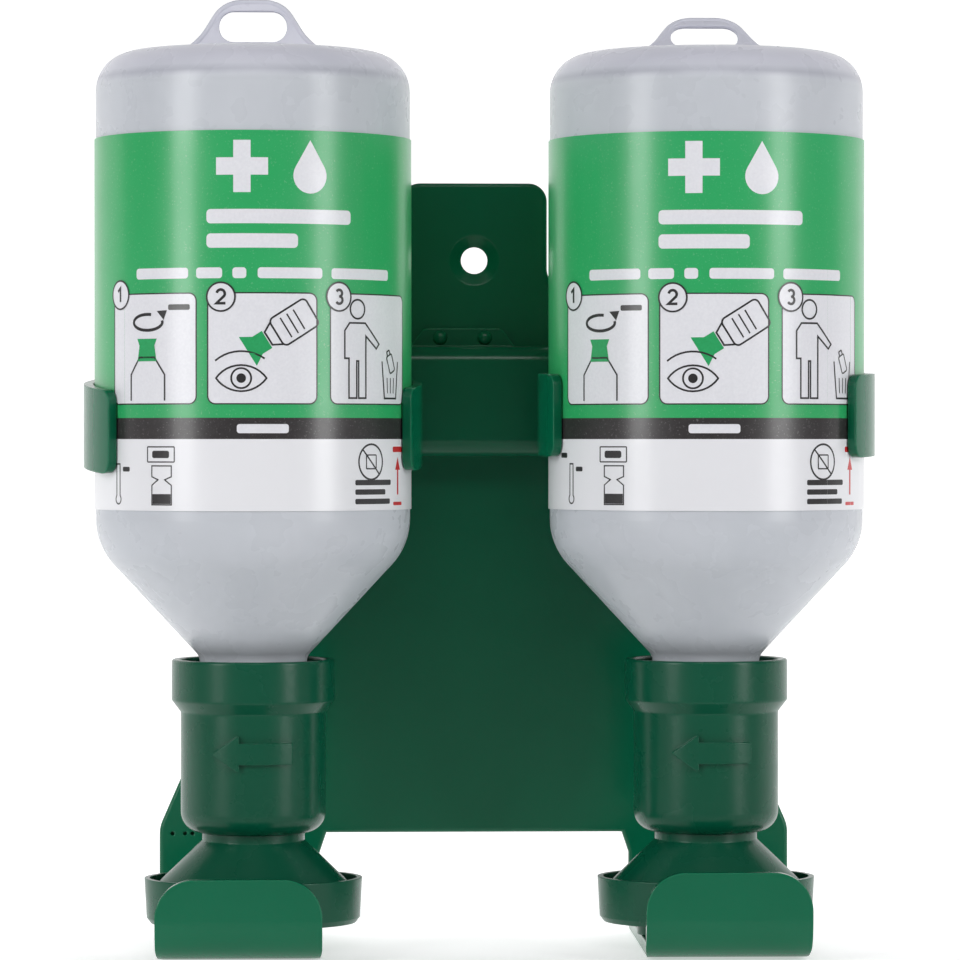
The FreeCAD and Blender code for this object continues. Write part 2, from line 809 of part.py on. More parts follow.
os.makedirs("parts", exist_ok=True)
for name, shape in build().items():
    print(name, len(shape.Solids), shape.isValid(), round(shape.Volume / 1000, 2), "cm3")
    shape.exportStep(f"parts/{name}.step")
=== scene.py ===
import json
import math

import bmesh
import bpy
from mathutils import Matrix, Vector
from mathutils.geometry import tessellate_polygon


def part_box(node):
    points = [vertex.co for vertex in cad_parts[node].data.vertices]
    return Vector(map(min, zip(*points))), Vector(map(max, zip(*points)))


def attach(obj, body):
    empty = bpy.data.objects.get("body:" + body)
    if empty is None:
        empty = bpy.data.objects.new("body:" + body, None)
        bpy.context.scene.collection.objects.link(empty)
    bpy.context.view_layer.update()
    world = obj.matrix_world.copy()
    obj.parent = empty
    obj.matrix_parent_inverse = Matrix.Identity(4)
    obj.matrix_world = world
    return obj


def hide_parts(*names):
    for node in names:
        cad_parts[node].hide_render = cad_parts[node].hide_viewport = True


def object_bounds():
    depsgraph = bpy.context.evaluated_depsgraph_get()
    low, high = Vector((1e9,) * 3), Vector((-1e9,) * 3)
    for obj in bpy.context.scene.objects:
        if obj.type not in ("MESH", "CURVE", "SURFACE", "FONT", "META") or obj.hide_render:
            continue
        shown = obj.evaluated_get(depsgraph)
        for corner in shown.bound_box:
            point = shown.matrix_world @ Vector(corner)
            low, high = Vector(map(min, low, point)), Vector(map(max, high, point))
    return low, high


# Looks of the wall-mounted eyewash station. Everything is in metres and in the frame of the
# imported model: origin at the screw hole on the wall face, +Z up, -Y towards the user.

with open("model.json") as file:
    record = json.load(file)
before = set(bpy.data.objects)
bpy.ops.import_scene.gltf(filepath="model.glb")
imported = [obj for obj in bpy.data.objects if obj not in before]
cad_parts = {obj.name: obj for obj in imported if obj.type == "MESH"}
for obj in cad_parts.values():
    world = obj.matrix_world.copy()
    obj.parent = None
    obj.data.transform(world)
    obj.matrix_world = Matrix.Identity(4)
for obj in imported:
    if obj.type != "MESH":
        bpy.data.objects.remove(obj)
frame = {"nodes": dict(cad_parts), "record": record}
cad_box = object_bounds()

MM = 0.001
SIDES = {"left": -1, "right": 1}

# ---- Places and sizes read from the frame

label_low, label_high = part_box("left_label")
LABEL_R = (label_high.x - label_low.x) / 2
BOTTLE_X = -(label_low.x + label_high.x) / 2
AXIS_Y = (label_low.y + label_high.y) / 2
LIQUID_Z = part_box("left_saline")[1].z


def bottle_axis(side):
    return Vector((SIDES[side] * BOTTLE_X, AXIS_Y, 0))


# ---- Camera, light and floor

CAMERA_DISTANCE = 1.073  # from the bottles' axes
CAMERA_HEIGHT = -0.0444
CAMERA_YAW = math.radians(-2.0)  # a little to the left of straight on
CAMERA_PITCH = math.radians(-0.51)
LENS = 168.75
WORLD_LIGHT = 0.10

FLOOR_DROP = 0.0005  # floor below the lowest point of the object
FLOOR_FRONT_Y = -6.0
FLOOR_HALF_WIDTH = 5.0
BACKDROP_Y = 1.6
BACKDROP_BEND_R = 0.8
BACKDROP_BEND_STEPS = 16
BACKDROP_HEIGHT = 5.0
GLOW_START_Y = -0.2  # the backdrop's own light grows from here
GLOW_FULL_Y = 0.0
GLOW = 0.7


def make_camera():
    """Camera in front of the station, a little to the left of its middle and nearly level."""
    data = bpy.data.cameras.new("photo_camera")
    data.lens = LENS
    data.sensor_width = 36.0
    data.clip_end = 50.0
    camera = bpy.data.objects.new("photo_camera", data)
    bpy.context.collection.objects.link(camera)
    back = Vector((math.sin(CAMERA_YAW), -math.cos(CAMERA_YAW), 0))
    camera.location = Vector((0, AXIS_Y, CAMERA_HEIGHT)) + back * CAMERA_DISTANCE
    aim = Matrix.Rotation(CAMERA_YAW, 4, "Z") @ Matrix.Rotation(math.pi / 2 + CAMERA_PITCH, 4, "X")
    camera.rotation_euler = aim.to_euler()
    bpy.context.scene.camera = camera


def area_light(name, place, target, size, power):
    data = bpy.data.lights.new(name, "AREA")
    data.shape = "RECTANGLE"
    data.size, data.size_y = size
    data.energy = power
    light = bpy.data.objects.new(name, data)
    bpy.context.collection.objects.link(light)
    light.location = place
    aim = Vector(target) - Vector(place)
    light.rotation_euler = aim.to_track_quat("-Z", "Y").to_euler()


def make_lights():
    """Soft light from both sides and from the front above, and a faint even light."""
    centre = (0, AXIS_Y, -0.05)
    area_light("key_left", (-0.95, -0.8, 0.3), centre, (0.35, 0.8), 6.6)
    area_light("fill_right", (0.95, -0.8, 0.25), centre, (0.35, 0.8), 5.9)
    area_light("front_top", (0.0, -1.2, 0.75), centre, (0.9, 0.3), 3.2)
    world = bpy.data.worlds.new("studio")
    bpy.context.scene.world = world
    world.use_nodes = True
    background = world.node_tree.nodes["Background"]
    background.inputs["Color"].default_value = (1.0, 1.0, 1.0, 1)
    background.inputs["Strength"].default_value = WORLD_LIGHT
    view = bpy.context.scene.view_settings
    view.view_transform = "Standard"
    view.look = "None"


def make_floor():
    """Pale floor that curves up into a plain backdrop behind the station."""
    floor_z = cad_box[0].z - FLOOR_DROP
    line = [(FLOOR_FRONT_Y, floor_z)]
    for i in range(BACKDROP_BEND_STEPS + 1):
        angle = math.pi / 2 * i / BACKDROP_BEND_STEPS
        y = BACKDROP_Y - BACKDROP_BEND_R + BACKDROP_BEND_R * math.sin(angle)
        line.append((y, floor_z + BACKDROP_BEND_R * (1 - math.cos(angle))))
    line.append((BACKDROP_Y, floor_z + BACKDROP_HEIGHT))
    mesh = bpy.data.meshes.new("studio_floor")
    vertices = [(x, y, z) for y, z in line for x in (-FLOOR_HALF_WIDTH, FLOOR_HALF_WIDTH)]
    faces = [(2 * i, 2 * i + 1, 2 * i + 3, 2 * i + 2) for i in range(len(line) - 1)]
    mesh.from_pydata(vertices, [], faces)
    mesh.shade_smooth()
    floor = bpy.data.objects.new("studio_floor", mesh)
    bpy.context.collection.objects.link(floor)
    material = bpy.data.materials.new("floor_paint")
    material.use_nodes = True
    tree = material.node_tree
    shader = tree.nodes["Principled BSDF"]
    shader.inputs["Base Color"].default_value = (0.8, 0.8, 0.8, 1)
    shader.inputs["Roughness"].default_value = 0.7
    shader.inputs["Emission Color"].default_value = (1, 1, 1, 1)
    place = tree.nodes.new("ShaderNodeTexCoord")
    parts = tree.nodes.new("ShaderNodeSeparateXYZ")
    glow = tree.nodes.new("ShaderNodeMapRange")
    glow.inputs["From Min"].default_value = GLOW_START_Y
    glow.inputs["From Max"].default_value = GLOW_FULL_Y
    glow.inputs["To Max"].default_value = GLOW
    tree.links.new(place.outputs["Object"], parts.inputs["Vector"])
    tree.links.new(parts.outputs["Y"], glow.inputs["Value"])
    tree.links.new(glow.outputs["Result"], shader.inputs["Emission Strength"])
    mesh.materials.append(material)


# ---- Material helpers


class Finish:
    """A Principled material with its node tree at hand; sockets are its constant values."""

    def __init__(self, name, roughness=0.4, **sockets):
        self.material = bpy.data.materials.new(name)
        self.material.use_nodes = True
        self.tree = self.material.node_tree
        self.shader = self.tree.nodes["Principled BSDF"]
        self.shader.inputs["Roughness"].default_value = roughness
        for label, value in sockets.items():
            self.shader.inputs[label.replace("_", " ")].default_value = value
        self.place = self.node("ShaderNodeTexCoord").outputs["Object"]

    def node(self, kind, values=None, **settings):
        made = self.tree.nodes.new(kind)
        for key, value in settings.items():
            setattr(made, key, value)
        for key, value in (values or {}).items():
            if hasattr(value, "is_output"):
                self.tree.links.new(value, made.inputs[key])
            else:
                made.inputs[key].default_value = value
        return made

    def link(self, output, label):
        self.tree.links.new(output, self.shader.inputs[label])

    def noise(self, scale, detail=3.0, stretch=(1, 1, 1)):
        place = self.node("ShaderNodeMapping", {"Vector": self.place, "Scale": stretch}).outputs[0]
        values = {"Vector": place, "Scale": scale, "Detail": detail}
        return self.node("ShaderNodeTexNoise", values).outputs["Fac"]

    def ramp(self, factor, stops):
        """Colour or grey that follows a factor; stops are (position, colour or grey)."""
        ramp = self.node("ShaderNodeValToRGB", {"Fac": factor})
        elements = ramp.color_ramp.elements
        while len(elements) < len(stops):
            elements.new(0.5)
        for element, (position, colour) in zip(elements, stops):
            element.position = position
            grey = not isinstance(colour, tuple)
            element.color = (colour, colour, colour, 1) if grey else (*colour, 1)
        return ramp.outputs["Color"]

    def span(self, factor, low, high):
        """A factor of 0 to 1 spread over low to high."""
        values = {"Value": factor, "To Min": low, "To Max": high}
        return self.node("ShaderNodeMapRange", values).outputs["Result"]

    def math(self, operation, first, second=0.0):
        made = self.node("ShaderNodeMath", {0: first, 1: second}, operation=operation)
        return made.outputs[0]

    def mix(self, factor, first, second, blend="MIX"):
        made = self.node("ShaderNodeMix", data_type="RGBA", blend_type=blend)
        for key, value in ((0, factor), (6, first), (7, second)):
            if hasattr(value, "is_output"):
                self.tree.links.new(value, made.inputs[key])
            else:
                made.inputs[key].default_value = value if key == 0 else (*value, 1)
        return made.outputs[2]

    def axis(self, letter):
        parts = self.node("ShaderNodeSeparateXYZ", {"Vector": self.place})
        return parts.outputs[letter]

    def bump(self, height, strength, distance, normal=None):
        values = {"Height": height, "Strength": strength, "Distance": distance}
        if normal is not None:
            values["Normal"] = normal
        return self.node("ShaderNodeBump", values).outputs["Normal"]


# ---- Materials

LEVEL_LINE = 0.0014  # how far the liquid's edge shows above and below its level
WET_UP_TO = -0.002  # from the liquid's level; the wall turns paler from here
DRY_FROM = 0.003  # up to here
BAND_TOP = -0.0393  # dark band round the label
BAND_BOTTOM = -0.0442


def moulded_green(name, dark, light, roughness, edge_r):
    """Glossy moulded plastic: cloudy colour, flow marks, edges paled partly as rubbing wear and
    partly as a painted highlight, fine peel and grit.
    """
    f = Finish(name, roughness, Coat_Weight=0.03, Coat_Roughness=0.1, IOR=1.36)
    clouds = f.noise(28.0, 4.0)
    flow = f.noise(60.0, 2.0, (1, 1, 0.15))
    base = f.mix(f.span(clouds, 0.15, 0.85), dark, light)
    base = f.mix(f.span(flow, 0.0, 0.18), base, light)
    rounded = f.node("ShaderNodeBevel", {"Radius": edge_r}, samples=6).outputs["Normal"]
    facing = f.node("ShaderNodeNewGeometry").outputs["Normal"]
    along = f.node("ShaderNodeVectorMath", {0: rounded, 1: facing}, operation="DOT_PRODUCT")
    # edge mask: edges are paled partly as real rubbing wear and partly as a painted highlight along
    # every edge
    edge = f.ramp(along.outputs["Value"], [(0.72, 1.0), (0.99, 0.0)])
    edge_rub_and_highlight = f.math("MULTIPLY", edge, f.span(f.noise(400.0, 4.0), 0.25, 0.9))
    rub_and_highlight_colour = tuple(min(1.0, c * 1.9 + 0.015) for c in light)
    base = f.mix(edge_rub_and_highlight, base, rub_and_highlight_colour)
    f.link(base, "Base Color")
    smear = f.span(f.noise(90.0, 5.0), roughness * 0.75, roughness * 1.35)
    f.link(smear, "Roughness")
    peel = f.bump(f.noise(650.0, 2.0), 0.06, 0.0004, rounded)
    grit = f.bump(f.noise(2600.0, 2.0), 0.05, 0.0001, peel)
    f.link(grit, "Normal")
    return f.material


def milky_plastic():
    """Translucent polyethylene: milky, paler above the liquid, with faint flow lines."""
    f = Finish("bottle_polyethylene", 0.3, IOR=1.45, Alpha=0.9)
    height = f.axis("Z")
    fade = {"Value": height, "From Min": LIQUID_Z + WET_UP_TO, "From Max": LIQUID_Z + DRY_FROM}
    above = f.node("ShaderNodeMapRange", fade).outputs["Result"]
    clouds = f.noise(40.0, 4.0, (1, 1, 0.4))
    wet = f.mix(clouds, (0.56, 0.59, 0.64), (0.66, 0.68, 0.73))
    dry = f.mix(clouds, (0.65, 0.66, 0.75), (0.75, 0.75, 0.84))
    inside = f.mix(above, wet, dry)
    off_level = f.math("ABSOLUTE", f.math("SUBTRACT", height, LIQUID_Z))
    line = f.ramp(f.math("MULTIPLY", off_level, 1 / LEVEL_LINE), [(0.0, 0.55), (1.0, 0.0)])
    f.link(f.mix(line, inside, (0.42, 0.43, 0.50)), "Base Color")
    f.link(f.span(f.noise(120.0, 3.0), 0.2, 0.36), "Roughness")
    f.link(f.bump(f.noise(60.0, 1.0, (1, 1, 0.05)), 0.04, 0.0003), "Normal")
    return f.material


def saline_liquid():
    """Clear fill that shows faintly through the bottle."""
    f = Finish("saline_liquid", 0.05, IOR=1.33, Alpha=0.45)
    f.link(f.mix(f.noise(30.0), (0.70, 0.74, 0.80), (0.80, 0.83, 0.88)), "Base Color")
    return f.material


def natural_plastic():
    """Uncoloured plastic of the plug and nozzle inside."""
    f = Finish("natural_plastic", 0.4, Subsurface_Weight=0.2, Subsurface_Scale=0.004)
    f.link(f.mix(f.noise(120.0), (0.80, 0.82, 0.84), (0.90, 0.91, 0.93)), "Base Color")
    f.link(f.bump(f.noise(900.0), 0.08, 0.0002), "Normal")
    return f.material


def washer_rubber():
    """Soft black rubber with a fine grain."""
    f = Finish("washer_rubber", 0.7)
    f.link(f.mix(f.noise(300.0), (0.02, 0.02, 0.02), (0.06, 0.06, 0.06)), "Base Color")
    f.link(f.bump(f.noise(1500.0), 0.2, 0.0002), "Normal")
    return f.material


def label_film():
    """Printed film: green above, a dark band, white below, each with its own ink texture; the green
    and white also carry a painted sheen.
    """
    f = Finish("label_film", 0.3, Coat_Weight=0.3, Coat_Roughness=0.2)
    height = f.axis("Z")
    # painted sheen: broad lighter and darker patches laid into the green and white print colours
    sheen = f.noise(14.0, 3.0, (1, 1, 0.5))
    green = f.mix(f.span(sheen, 0.0, 1.0), (0.014, 0.36, 0.085), (0.035, 0.42, 0.16))
    white = f.mix(sheen, (0.78, 0.78, 0.82), (0.86, 0.86, 0.89))
    dark = f.mix(f.noise(900.0, 4.0), (0.018, 0.015, 0.017), (0.04, 0.035, 0.036))
    below_green = f.math("LESS_THAN", height, BAND_TOP)
    below_band = f.math("LESS_THAN", height, BAND_BOTTOM)
    colour = f.mix(below_band, f.mix(below_green, green, dark), white)
    speck = f.ramp(f.noise(2200.0, 2.0), [(0.62, 0.0), (0.74, 1.0)])
    colour = f.mix(f.math("MULTIPLY", speck, 0.12), colour, (0.8, 0.8, 0.8))
    f.link(colour, "Base Color")
    f.link(f.span(f.noise(70.0, 4.0), 0.24, 0.4), "Roughness")
    creases = f.bump(f.noise(22.0, 2.0, (1, 1, 0.35)), 0.25, 0.0012)
    f.link(f.bump(f.noise(1300.0, 2.0), 0.05, 0.0001, creases), "Normal")
    return f.material


def ink(name, dark, light):
    """Ink on the film, under the same varnish."""
    f = Finish(name, 0.34, Coat_Weight=0.3, Coat_Roughness=0.2)
    f.link(f.mix(f.noise(1600.0, 4.0), dark, light), "Base Color")
    f.link(f.bump(f.noise(1300.0, 2.0), 0.05, 0.0001), "Normal")
    return f.material


# ---- Flat outlines, in millimetres: u to the right, v up

SHARPEST_MITRE = 0.4  # a pen line's corners reach no further out than this allows


def arc(centre, radius, start, end, steps=12, squash=1.0):
    """Points on an arc from one angle to another, in degrees; squash flattens it upwards."""
    points = []
    for i in range(steps + 1):
        angle = math.radians(start + (end - start) * i / steps)
        x = centre[0] + radius * math.cos(angle)
        points.append((x, centre[1] + radius * squash * math.sin(angle)))
    return points


def circle(centre, radius):
    return arc(centre, radius, 0, 360, 36)[:-1]


def enclosed(loop):
    """Twice the signed area inside an outline."""
    return sum(a[0] * b[1] - b[0] * a[1] for a, b in zip(loop, loop[1:] + loop[:1]))


def rounded_loop(corners, steps=7):
    """Closed outline through (u, v, radius) corners."""
    loop = []
    for i, (u, v, radius) in enumerate(corners):
        corner = Vector((u, v))
        if radius == 0:
            loop.append((u, v))
            continue
        back = (Vector(corners[i - 1][:2]) - corner).normalized()
        ahead = (Vector(corners[(i + 1) % len(corners)][:2]) - corner).normalized()
        half = back.angle(ahead) / 2
        middle = corner + (back + ahead).normalized() * (radius / math.sin(half))
        first = corner + back * (radius / math.tan(half)) - middle
        turn = first.angle_signed(corner + ahead * (radius / math.tan(half)) - middle)
        for k in range(steps + 1):
            spoke = first.copy()
            spoke.rotate(Matrix.Rotation(-turn * k / steps, 2))
            loop.append(tuple(middle + spoke))
    return loop


def panel(left, bottom, right, top, radius):
    """Rectangle with rounded corners."""
    corners = [(left, bottom), (right, bottom), (right, top), (left, top)]
    return rounded_loop([(u, v, radius) for u, v in corners])


def bar(left, right, middle, height):
    """Plain bar with rounded ends that stands in for a word."""
    return [panel(left, middle - height / 2, right, middle + height / 2, height * 0.3)]


def stroke(points, width, closed=False):
    """Shape of a pen line along points: one outline, or an outline and a hole if it is closed."""
    places = [Vector(p) for p in points]
    count = len(places)
    sides = ([], [])
    for i, place in enumerate(places):
        before = places[i - 1] if closed or i > 0 else None
        after = places[(i + 1) % count] if closed or i < count - 1 else None
        into = (place - before).normalized() if before is not None else None
        out = (after - place).normalized() if after is not None else None
        into = out if into is None else into
        out = into if out is None else out
        along = (into + out).normalized()
        normal = Vector((-along.y, along.x))
        reach = width / 2 / max(SHARPEST_MITRE, along.dot(out))
        sides[0].append(tuple(place + normal * reach))
        sides[1].append(tuple(place - normal * reach))
    if closed:
        return sorted(sides, key=lambda loop: -abs(enclosed(loop)))
    return [sides[0] + sides[1][::-1]]


def mirrored(half, middle):
    """Left half of an outline, given by distances from its middle, and its mirror image."""
    return [(middle - u, v) for u, v in half] + [(middle + u, v) for u, v in half[::-1]]


def turned_about(shape, centre, degrees):
    """The same shape turned about a point."""
    spin = Matrix.Rotation(math.radians(degrees), 2)
    middle = Vector(centre)
    return [[tuple(spin @ (Vector(p) - middle) + middle) for p in loop] for loop in shape]


# ---- Print on the labels, in millimetres: u round the film from its front, v up

INK_STEP = 0.02 * MM  # from one level of ink to the next
INK_T = 0.012 * MM
ON_FILM, PICTURES, DISCS, DIGITS = 1, 3, 5, 7  # levels of ink above the film
WRAP_STEP = 2.5  # the print follows the bottle in steps this long
SMALLEST_FACE = 1e-7
ART_SHIFT = {"left": 1.4, "right": -2.6}  # how far each label is turned round its bottle


def finished_piece(name, joined, sharp_from, material):
    """Object with its material from mesh code, smooth except at edges sharper than an angle."""
    bmesh.ops.recalc_face_normals(joined, faces=joined.faces[:])
    mesh = bpy.data.meshes.new(name)
    joined.to_mesh(mesh)
    joined.free()
    mesh.shade_smooth()
    mesh.set_sharp_from_angle(angle=math.radians(sharp_from))
    mesh.materials.append(material)
    piece = bpy.data.objects.new(name, mesh)
    bpy.context.collection.objects.link(piece)
    return piece


def print_on_label(name, side, layers, material, shift):
    """Ink on one label: layers holds (level, shapes), each shape an outline and its holes."""
    joined = bmesh.new()
    axis = bottle_axis(side)
    for level, shapes in layers:
        flat = bmesh.new()
        for shape in shapes:
            loops = [[Vector((u + shift, v, 0)) for u, v in loop] for loop in shape]
            made = [flat.verts.new(p) for loop in loops for p in loop]
            for corners in tessellate_polygon(loops):
                ring = [made[i] for i in corners]
                normal = (ring[1].co - ring[0].co).cross(ring[2].co - ring[0].co)
                if normal.z < 0:
                    ring.reverse()
                if normal.length > SMALLEST_FACE:
                    flat.faces.new(ring)
        lowest = min(v.co.x for v in flat.verts)
        highest = max(v.co.x for v in flat.verts)
        cut = math.floor(lowest / WRAP_STEP) * WRAP_STEP
        while cut < highest:
            geometry = flat.verts[:] + flat.edges[:] + flat.faces[:]
            bmesh.ops.bisect_plane(flat, geom=geometry, plane_co=(cut, 0, 0), plane_no=(1, 0, 0))
            cut += WRAP_STEP
        bmesh.ops.solidify(flat, geom=flat.faces[:], thickness=1.0)
        top = max(v.co.z for v in flat.verts)
        for vertex in flat.verts:
            u, v, depth = vertex.co
            outer = abs(depth - top) < 0.5
            radius = LABEL_R + level * INK_STEP + (INK_T if outer else 0)
            angle = u * MM / LABEL_R
            vertex.co = axis + Vector((radius * math.sin(angle), -radius * math.cos(angle), v * MM))
        part = bpy.data.meshes.new("layer")
        flat.to_mesh(part)
        flat.free()
        joined.from_mesh(part)
        bpy.data.meshes.remove(part)
    piece = finished_piece(name, joined, 30, material)
    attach(piece, f"{side}_bottle")


PANELS = [(-39.5, -14.2), (-11.4, 14.2), (17.7, 44.0)]
PANEL_TOP = -10.6
PANEL_BOTTOM = -36.1
PANEL_CORNER_R = 1.8
NUMBER_SPOTS = [(-36.9, -10.7), (-8.3, -11.5), (20.0, -11.3)]
NUMBER_R = 3.3
PEN = 0.42
FINE_PEN = 0.3
THIN_PEN = 0.35
RING_PEN = 0.4
SIGN_PEN = 0.45
DIGIT_PEN = 0.62
ARROW_PEN = 0.7
TILT = 32  # degrees that the pouring bottle leans
POURING_BOTTLE = (5.4, -19.4)
SMALL_BOTTLE_U = -23.35
STRUCK_CIRCLE = (29.9, -49.5)


def digit(number, centre):
    """Plain numeral of a few strokes."""
    u, v = centre
    if number == 1:
        return [stroke([(u - 0.9, v + 0.8), (u + 0.1, v + 1.6), (u + 0.1, v - 1.6)], DIGIT_PEN)]
    if number == 2:
        curve = arc((u, v + 0.7), 0.95, 170, -35, 10)
        return [stroke(curve + [(u - 1.0, v - 1.5), (u + 1.1, v - 1.5)], DIGIT_PEN)]
    upper = arc((u, v + 0.8), 0.8, 150, -90, 10)
    lower = arc((u, v - 0.75), 0.9, 90, -150, 10)
    return [stroke(upper, DIGIT_PEN), stroke(lower[1:], DIGIT_PEN)]


def upright_bottle(u, bottom):
    """Lower part of a picture bottle that stands upright, cut off by the panel's edge."""
    half = [(5.2, bottom), (5.2, bottom + 6.0), (2.3, bottom + 10.0)]
    return [stroke(mirrored(half, u), PEN)]


def eye_picture(u, v):
    """Open eye as two arcs round an iris."""
    upper = arc((u, v - 4.2), 7.2, 145, 35, 12)
    lower = arc((u, v + 4.2), 7.2, 215, 325, 12)
    brow = arc((u, v - 3.2), 9.4, 130, 55, 10)
    return [
        stroke(upper, PEN),
        stroke(lower, PEN),
        stroke(brow, PEN),
        stroke(circle((u, v), 2.3), PEN, True),
        [circle((u, v), 1.1)],
    ]


def standing_figure(u, foot):
    """Sign figure with one arm held out."""
    head = (u, foot + 20.6)
    body = [
        (u - 2.6, foot),
        (u - 2.6, foot + 9.2),
        (u - 3.8, foot + 9.2),
        (u - 3.8, foot + 15.6),
        (u - 2.4, foot + 17.4),
        (u + 2.4, foot + 17.4),
        (u + 7.2, foot + 12.6),
        (u + 6.2, foot + 11.5),
        (u + 2.6, foot + 14.4),
        (u + 2.6, foot),
        (u + 0.3, foot),
        (u + 0.3, foot + 8.6),
        (u - 0.3, foot + 8.6),
        (u - 0.3, foot),
    ]
    return [stroke(body, PEN, True), stroke(circle(head, 2.2), PEN, True)]


def waste_bin(u, foot):
    """Open bin with a small bottle that falls into it."""
    outline = [(u - 3.6, foot + 8.6), (u - 2.6, foot), (u + 2.6, foot), (u + 3.6, foot + 8.6)]
    small = panel(u - 1.2, foot + 6.0, u + 1.2, foot + 10.2, 0.5)
    neck = panel(u - 0.6, foot + 10.2, u + 0.6, foot + 11.3, 0.2)
    falling = [turned_about([loop], (u, foot + 8.5), 24)[0] for loop in (small, neck)]
    rib_lines = [[(u + k * 1.3, foot + 1.2), (u + k * 1.5, foot + 4.8)] for k in (-1, 0, 1)]
    ribs = [stroke(line, FINE_PEN) for line in rib_lines]
    return [stroke(outline, PEN)] + ribs + [stroke(loop, THIN_PEN, True) for loop in falling]


def tilted_bottle(u, v):
    """Picture bottle that comes from the upper right, with its cup at the lower left."""
    body = panel(u - 1.0, v - 3.6, u + 9.0, v + 3.6, 1.2)
    shoulder = [(u - 1.0, v + 2.9), (u - 3.2, v + 1.7), (u - 3.2, v - 1.7), (u - 1.0, v - 2.9)]
    lines = [[(u + k, v - 2.6), (u + k, v + 2.6)] for k in (1.6, 3.4, 5.2)]
    shapes = [stroke(body, PEN, True), stroke(shoulder, PEN)]
    shapes += [stroke(line, THIN_PEN) for line in lines]
    return [turned_about(shape, (u, v), TILT) for shape in shapes]


def tilted_cup(u, v):
    """Cup on the neck of the tilted bottle."""
    cup = [(u - 3.6, v + 2.3), (u - 6.2, v + 2.3), (u - 8.8, v + 3.9), (u - 8.8, v - 3.9)]
    cup += [(u - 6.2, v - 2.3), (u - 3.6, v - 2.3)]
    return [turned_about([cup], (u, v), TILT)]


def arrow_head(tip, direction, length, width):
    """Filled triangle with its tip at a point."""
    along = Vector((math.cos(math.radians(direction)), math.sin(math.radians(direction))))
    across = Vector((-along.y, along.x)) * width / 2
    root = Vector(tip) - along * length
    return [[tuple(tip), tuple(root + across), tuple(root - across)]]


def white_print():
    """White mark and word bars on the green, panels, number discs and the bar on the dark band."""
    cross = [(-1, 3), (1, 3), (1, 1), (3, 1), (3, -1), (1, -1)]
    cross += [(-u, -v) for u, v in cross]
    mark = [(-3.4 + 2.0 * a, 18.5 + 2.0 * b) for a, b in cross]
    drop = arc((12.6, 16.4), 4.1, 150, 390, 20) + [(12.6, 24.6)]
    base = [[mark], [drop], bar(-11.7, 23.3, 7.0, 3.3), bar(-11.7, 9.6, 1.4, 3.3)]
    words = [(-30.9, -16.2), (-14.2, -8.0), (-5.6, -2.4), (0.2, 15.6), (18.0, 36.3)]
    base += [bar(left, right, -6.0, 2.5) for left, right in words]
    for left, right in PANELS:
        base.append([panel(left, PANEL_BOTTOM, right, PANEL_TOP, PANEL_CORNER_R)])
    base.append(bar(-4.6, 7.4, -41.8, 2.1))
    discs = [[circle(spot, NUMBER_R)] for spot in NUMBER_SPOTS]
    return [(ON_FILM, base), (DISCS, discs)]


def small_signs():
    """Signs on the white strip, and apart from them the crate that lies over the struck circle."""
    signs = [stroke(panel(-27.4, -49.5, -19.8, -46.0, 0.2), FINE_PEN, True)]
    signs += [bar(-26.0, -21.2, -47.75, 1.7)]
    half = [(2.75, -59.4), (2.75, -54.9), (0.95, -53.6), (2.75, -52.9), (2.75, -50.4)]
    signs += [stroke(mirrored(half, SMALL_BOTTLE_U), FINE_PEN, True)]
    signs += [[panel(-25.9, -59.2, -20.8, -56.9, 0.1)]]
    u, v = STRUCK_CIRCLE
    signs += [stroke(circle(STRUCK_CIRCLE, 4.1), SIGN_PEN, True)]
    signs += [stroke([(u - 2.8, v + 2.8), (u + 2.8, v - 2.8)], RING_PEN)]
    lines = ((37.6, -54.3), (35.2, -56.5), (37.2, -58.7))
    signs += [bar(24.7, right, middle, 1.25) for right, middle in lines]
    hook = arc((-37.9, -58.2), 1.1, 130, 410, 14) + [(-37.2, -50.0), (-38.6, -50.0)]
    signs += [stroke(hook, THIN_PEN, True)]
    signs += [bar(-43.0, -39.9, -48.0, 1.2), bar(-36.0, -33.4, -51.2, 1.1)]
    crate = panel(u - 1.7, v - 1.6, u + 1.7, v + 1.6, 0.2)
    return signs, stroke(crate, FINE_PEN, True)


def black_print():
    """Outlines, pictures and small signs."""
    frames = []
    for left, right in PANELS:
        edge = panel(left, PANEL_BOTTOM, right, PANEL_TOP, PANEL_CORNER_R)
        frames.append(stroke(edge, FINE_PEN, True))
    pictures = upright_bottle(-27.6, PANEL_BOTTOM + 0.8)
    swirl = arc((-27.4, -17.2), 4.4, 75, 372, 30, 0.42)
    pictures += [stroke(swirl, ARROW_PEN), arrow_head((-24.6, -14.6), 158, 2.6, 2.4)]
    pictures += [bar(-21.4, -15.8, -13.8, 1.3)]
    pictures += eye_picture(-3.6, -30.2)
    pictures += tilted_bottle(*POURING_BOTTLE)
    pictures += standing_figure(25.4, PANEL_BOTTOM + 1.4)
    pictures += waste_bin(37.4, PANEL_BOTTOM + 1.4)
    numbers = [stroke(circle(spot, NUMBER_R), RING_PEN, True) for spot in NUMBER_SPOTS]
    digits = [shape for i, spot in enumerate(NUMBER_SPOTS) for shape in digit(i + 1, spot)]
    signs, crate = small_signs()
    return [
        (PICTURES, frames + pictures),
        (DIGITS, numbers + digits),
        (ON_FILM, signs),
        (PICTURES, [crate]),
    ]


def green_print():
    """Caps of the two picture bottles."""
    cap = [(-30.5, -26.2), (-24.7, -26.2), (-25.3, -22.6)]
    cap += [(-24.6, -21.0), (-30.6, -21.0), (-29.9, -22.6)]
    return [(PICTURES, [[cap]] + tilted_cup(*POURING_BOTTLE))]


